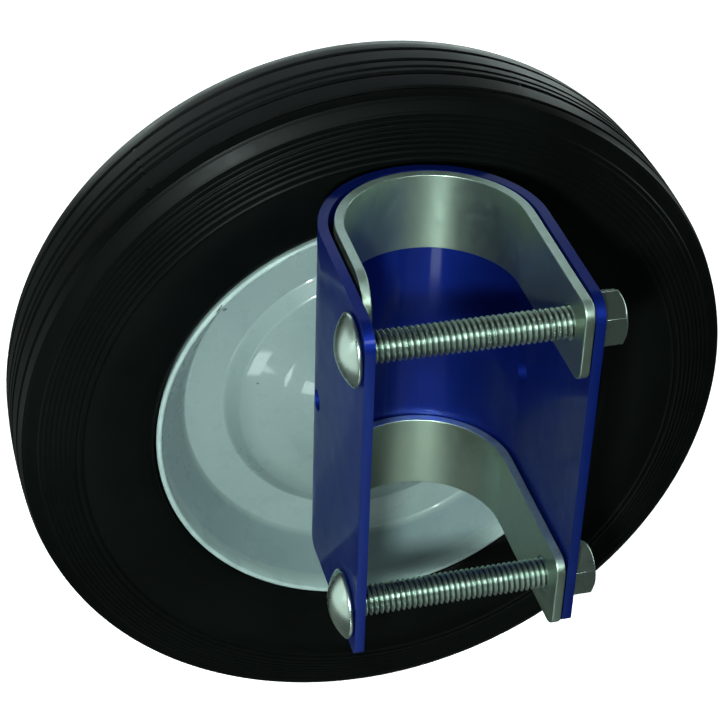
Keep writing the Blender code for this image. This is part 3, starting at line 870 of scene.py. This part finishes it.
def make_bushing(node, name, sign):
    lo, hi = mm_box(node)
    out = (hi[2] - lo[2]) / 2
    top = max(abs(lo[1] - AXIS[1]), abs(hi[1] - AXIS[1]))
    bottom = min(abs(lo[1] - AXIS[1]), abs(hi[1] - AXIS[1]))
    flange = 1.6
    prof = [(out - 0.3, top), (out, top - 0.3), (out, top - flange + 0.2), (out - 0.2, top - flange),
            (10.4, top - flange), (10.4, bottom + 0.6), (10.0, bottom), (6.9, bottom), (6.5, bottom + 0.4),
            (6.5, top - 0.5), (7.0, top)]
    ob = turned(name, [(r, sign * h) for r, h in prof], 'Y', tuple(AXIS), 80, sharp=30)
    return dress(ob, NYLON, "wheel", "bushing_nylon", node)


make_bushing("front_bushing", "front_flanged_bushing", -1)
make_bushing("rear_bushing", "rear_flanged_bushing", 1)


def make_axle():
    lo, hi = AX_LO, AX_HI
    r = (hi[2] - lo[2]) / 2
    a, b = lo[1] - AXIS[1], hi[1] - AXIS[1]
    prof = [(0.0, a), (r - 0.4, a), (r, a + 0.4), (r, b - 1.2), (r - 0.25, b - 0.7), (r - 1.1, b - 0.1),
            (r - 1.4, b), (1.6, b), (1.0, b - 0.5), (0.0, b - 0.9)]
    ob = turned("axle_stub", prof, 'Y', tuple(AXIS), 80, closed=False, sharp=30)
    cp_lo, cp_hi = mm_box("cotter_pin")
    y = (cp_lo[1] + cp_hi[1]) / 2
    cut(ob, [turned("hole", [(0, -12), (1.95, -12), (1.95, 12), (0, 12)], 'X', (0, y, AXIS[2]), 40,
                    closed=False)])
    ob.data.shade_smooth()
    ob.data.set_sharp_from_angle(angle=math.radians(30))
    return dress(ob, STEEL, "clamp", "plain_steel", "axle")


make_axle()


def make_weld():
    lo, hi = mm_box("axle_weld_bead")
    foot = hi[1] - AXIS[1]                       # the washer's side
    back = CH_R - AXIS[1]                        # the channel's outer back
    prof = [(6.7, foot), (7.4, foot - 0.05), (8.1, foot - 0.45), (8.9, foot - 1.1), (9.7, back + 1.0),
            (10.4, back + 0.55), (10.6, back - 0.2), (10.4, back - 0.9), (6.7, back - 0.9)]

    def shape(r, h, t):
        ripple = 0.22 * abs(math.sin(t * 11)) ** 0.6 + 0.1 * math.sin(t * 3 + 1) - 0.18
        w = np.clip((r - 7.2) / 2.0, 0, 1)
        # follow the channel's round back
        x = r * math.cos(t)
        sag = CH_R - np.sqrt(np.maximum(CH_R ** 2 - x ** 2, 0.0))
        hb = np.where(h < back + 0.7, h - sag, h)
        return r + ripple * w, hb

    ob = turned("axle_weld", prof, 'Y', tuple(AXIS), 176, sharp=60, shape=shape)
    return dress(ob, WELD_PAINT, "clamp", "blue_paint", "axle_weld_bead")


make_weld()


def sweep(name, path, radius, segs=12, flat=None):
    """A round wire along a path of points in mm, with closed ends."""
    p = np.array(path, float)
    d = np.gradient(p, axis=0)
    d /= np.linalg.norm(d, axis=1)[:, None]
    up = np.array([0.0, 1.0, 0.0])
    bm = bmesh.new()
    rings = []
    for q, t in zip(p, d):
        a = np.cross(up, t)
        a /= np.linalg.norm(a)
        rings.append([bm.verts.new(Vector(q + radius * (math.cos(2 * math.pi * i / segs) * up
                                                        + math.sin(2 * math.pi * i / segs) * a)) * MM)
                      for i in range(segs)])
    for a, b in zip(rings, rings[1:]):
        for i in range(segs):
            bm.faces.new((a[i], a[(i + 1) % segs], b[(i + 1) % segs], b[i]))
    bm.faces.new(rings[0][::-1])
    bm.faces.new(rings[-1])
    bmesh.ops.recalc_face_normals(bm, faces=bm.faces)
    return from_bmesh(name, bm)


def make_cotter():
    lo, hi = mm_box("cotter_pin")
    y = (lo[1] + hi[1]) / 2
    z = AXIS[2]
    r = 0.82
    axle_r = (AX_HI[2] - AX_LO[2]) / 2
    eye_x = lo[0] + 3.2
    eye_r = 2.35
    path = []
    # upper leg tip, down to the axle, through it, round the eye and back out to the lower leg
    leg = hi[0] - r - 0.05
    path += [(leg, y, z + s) for s in (9.6, 8.2, 6.8, 5.4, 4.0)]
    path += [(leg - 0.15, y, z + 2.8), (leg - 0.55, y, z + 1.8), (leg - 1.2, y, z + 1.1),
             (leg - 2.0, y, z + r)]
    path += [(x, y, z + r) for x in (4.0, 0.0, -4.0, -axle_r - 0.8)]
    for a in range(35, 326, 15):
        path.append((eye_x - eye_r * (0.2 - math.cos(math.radians(180 - a)) * -1) * 0 + eye_r * math.cos(math.radians(a)),
                     y, z + eye_r * math.sin(math.radians(a))))
    path += [(x, y, z - r) for x in (-axle_r - 0.8, -4.0, 0.0, 4.0)]
    path += [(leg - 2.0, y, z - r), (leg - 1.2, y, z - 1.1), (leg - 0.55, y, z - 1.8),
             (leg - 0.15, y, z - 2.8)]
    path += [(leg, y, z - s) for s in (4.0, 5.4, 6.8, 8.0)]
    ob = sweep("cotter_split_pin", curve_through(path, 3), r, 14)
    return dress(ob, STEEL, "clamp", "plain_steel", "cotter_pin")


make_cotter()


# ------------------------------------------------------------------ stage, light and camera
def make_stage():
    me = bpy.data.meshes.new("floor")
    z = TY_LO[2] * MM - 0.0002
    d, top = 6.0, 9.0
    me.from_pydata([(-d, -d, z), (d, -d, z), (d, d, z), (-d, d, z),
                    (-d, -d, top), (d, -d, top), (d, d, top), (-d, d, top)], [],
                   [(0, 1, 2, 3), (0, 4, 5, 1), (1, 5, 6, 2), (2, 6, 7, 3), (3, 7, 4, 0)])
    floor = bpy.data.objects.new("floor", me)
    bpy.context.scene.collection.objects.link(floor)
    m = bpy.data.materials.new("pale_floor")
    m.use_nodes = True
    b = m.node_tree.nodes["Principled BSDF"]
    b.inputs["Base Color"].default_value = (0.9, 0.9, 0.9, 1)
    b.inputs["Roughness"].default_value = 0.9
    b.inputs["Specular IOR Level"].default_value = 0.0
    b.inputs["Emission Color"].default_value = (1, 1, 1, 1)
    b.inputs["Emission Strength"].default_value = 0.97
    me.materials.append(m)
    floor.visible_glossy = False
    floor.visible_diffuse = False
    floor.visible_shadow = False
    return floor


make_stage()


def area(name, at, to, size, power, colour=(1, 1, 1), size_y=None):
    li = bpy.data.lights.new(name, 'AREA')
    li.shape = 'RECTANGLE'
    li.size = size
    li.size_y = size_y or size
    li.energy = power
    li.color = colour
    ob = bpy.data.objects.new(name, li)
    ob.location = at
    ob.rotation_euler = (Vector(to) - Vector(at)).to_track_quat('-Z', 'Y').to_euler()
    ob.visible_camera = False
    bpy.context.scene.collection.objects.link(ob)
    return ob


def direction(az_deg, el_deg):
    """A unit vector towards that azimuth (0 is -Y, positive to +X) and elevation."""
    a, e = math.radians(az_deg), math.radians(el_deg)
    return Vector((math.sin(a) * math.cos(e), -math.cos(a) * math.cos(e), math.sin(e)))


aim = Vector((0.0, 0.0, -0.01))
hub = Vector((0.0, 0.045, -0.0375))
COOL = (0.84, 1.0, 0.96)
area("key_light", Vector((-0.152, -0.370, 0.2245)), aim, 0.030, 2.32, COOL)
area("second_light", Vector((0.085, -0.40, 0.225)), aim, 0.10, 0.28, COOL)
area("floor_card", Vector((-0.03, -0.17, -0.132)), Vector((-0.02, -0.11, 0.0)), 0.17, 0.048, COOL, 0.26)
area("low_card", hub + direction(-18, -22) * 0.42, hub, 0.07, 0.085, COOL, 0.05)
area("left_card", Vector((-0.32, 0.05, -0.06)), Vector((-0.03, -0.02, 0.0)), 0.34, 0.21, COOL, 0.26)
area("left_strip", Vector((-0.80, 0.09, 0.34)), Vector((0, 0.04, 0.0)), 0.04, 0.43, COOL, 0.85)
area("crease_strip", hub + direction(-43, 0) * 0.8, hub, 0.03, 0.42, COOL, 0.58)
area("back_window", hub + direction(-177, 31) * 1.1, hub, 1.0, 1.1, (0.8, 0.93, 1.0), 0.32)
# soft light for the side and the back that face away from the camera
area("rear_softbox", hub + direction(172, 4) * 1.0, hub, 1.2, 4.2, COOL, 0.30)
area("right_softbox", hub + direction(108, 8) * 0.9, hub, 0.5, 2.2, COOL, 0.36)

# the studio's walls: dim in front, paler behind and at the left
world = bpy.data.worlds.new("studio")
bpy.context.scene.world = world
world.use_nodes = True
wt = world.node_tree
bg = wt.nodes["Background"]
gen = wt.nodes.new("ShaderNodeTexCoord").outputs["Generated"]
sep = wt.nodes.new("ShaderNodeSeparateXYZ")
wt.links.new(gen, sep.inputs[0])


def wmath(op, a, b):
    n = wt.nodes.new("ShaderNodeMath")
    n.operation = op
    for i, v in enumerate((a, b)):
        if isinstance(v, bpy.types.NodeSocket):
            wt.links.new(v, n.inputs[i])
        else:
            n.inputs[i].default_value = v
    return n.outputs[0]


back = wmath('MAXIMUM', wmath('MULTIPLY', sep.outputs[1], 0.12), 0.0)
left = wmath('MAXIMUM', wmath('MULTIPLY', sep.outputs[0], -0.06), 0.0)
level = wmath('ADD', wmath('ADD', back, left), 0.03)
wt.links.new(level, bg.inputs["Strength"])
bg.inputs["Color"].default_value = (0.84, 1.0, 0.95, 1)

# camera, placed from the wheel's centre
F_PX, AZ, EL, ROLL = 1979.15, -15.88, 35.28, 1.97
TX, TY, DIST = 1.36, -7.17, 566.11
az, el, ro = (math.radians(a) for a in (AZ, EL, ROLL))
c = Vector((math.sin(az) * math.cos(el), -math.cos(az) * math.cos(el), math.sin(el)))
x = Vector((0, 0, 1)).cross(c).normalized()
y = c.cross(x)
x2 = math.cos(ro) * x + math.sin(ro) * y
y2 = -math.sin(ro) * x + math.cos(ro) * y
place = (-TX * x2 - TY * y2 + DIST * c) + Vector(AXIS) - Vector((0.84, 0, 0))
cam_data = bpy.data.cameras.new("camera")
cam_data.sensor_width = 36.0
cam_data.lens = F_PX / 720 * 36.0
cam_data.clip_start, cam_data.clip_end = 0.01, 100
cam = bpy.data.objects.new("camera", cam_data)
m = Matrix((x2, y2, c)).transposed().to_4x4()
m.translation = place * MM
cam.matrix_world = m
bpy.context.scene.collection.objects.link(cam)
bpy.context.scene.camera = cam

bpy.context.scene.view_settings.view_transform = 'Standard'
